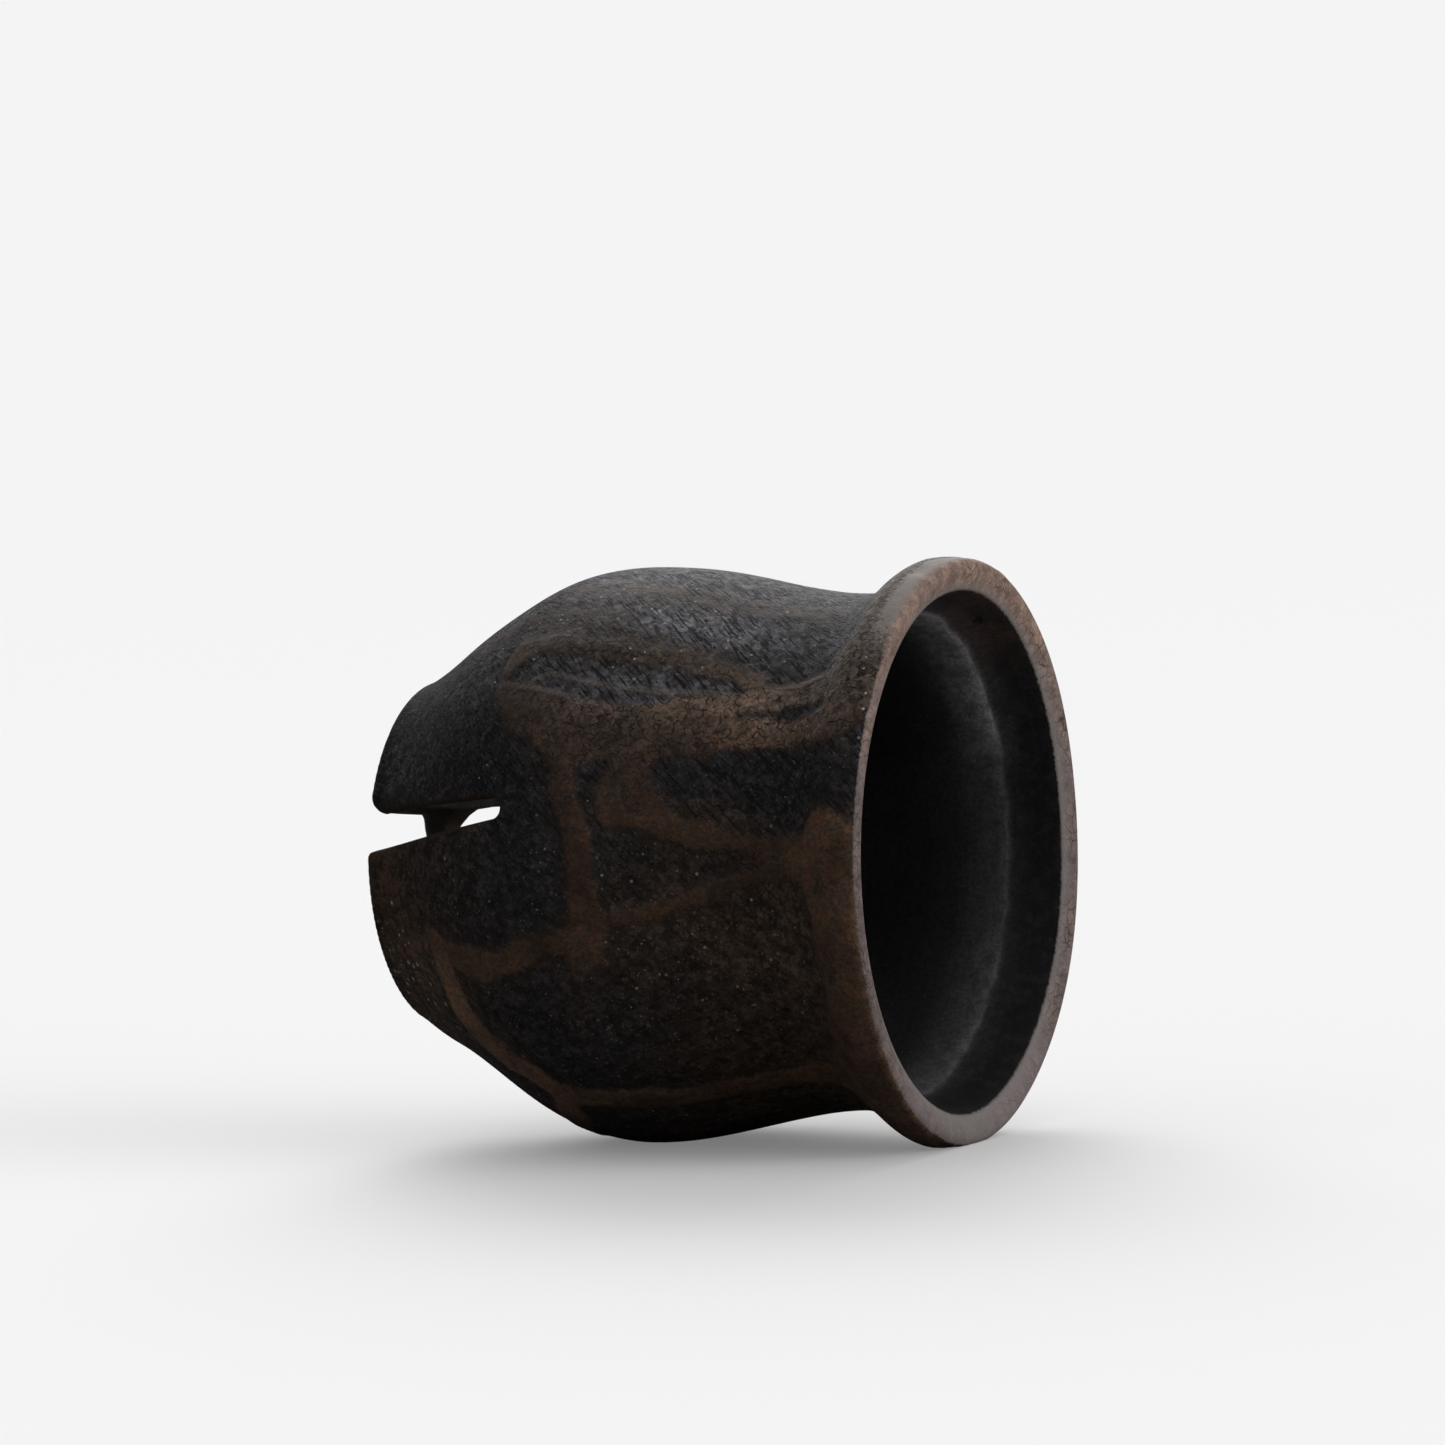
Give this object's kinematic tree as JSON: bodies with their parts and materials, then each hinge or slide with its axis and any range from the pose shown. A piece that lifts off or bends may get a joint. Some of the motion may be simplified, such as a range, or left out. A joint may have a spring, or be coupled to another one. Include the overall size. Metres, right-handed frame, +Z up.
{
  "type": "temple bell",
  "caption": "Dark fired-clay bell with a flared lip and a slotted crown, lying on its side, with a hanger bar across the slot and a clapper that swings on a crossbar inside.",
  "frame": {"origin": "on the floor, under the middle of the bell's length, where the bell lies on its belly and lip", "axes": "+X along the bell's axis from crown to mouth, +Z up from the floor, +Y across the bell along the clapper's crossbar"},
  "size_m": [0.1145, 0.11, 0.1095],
  "materials": {
    "black_clay": "matte, unglazed, smoke-blackened",
    "bare_clay": "matte, unglazed, brown",
    "wrought_iron": "forged, dull",
    "hardwood": "turned, oiled"
  },
  "bodies": {
    "bell": {"bell_shell": "black_clay", "hanger_bar": "bare_clay", "clapper_bar": "bare_clay", "bar_pad_left": "black_clay", "bar_pad_right": "black_clay", "spacer_bead_left": "bare_clay", "spacer_bead_right": "bare_clay"},
    "clapper": {"clapper_shank": "wrought_iron", "clapper_bob": "hardwood", "bob_washer": "wrought_iron", "bob_burr": "wrought_iron"}
  },
  "joints": [
    {"name": "clapper_swing", "type": "hinge", "parent": "bell", "child": "clapper", "pos_m": [-0.00775, 0, 0.05455], "axis": [0, -1, 0], "range_deg": [0, 95.1]}
  ]
}
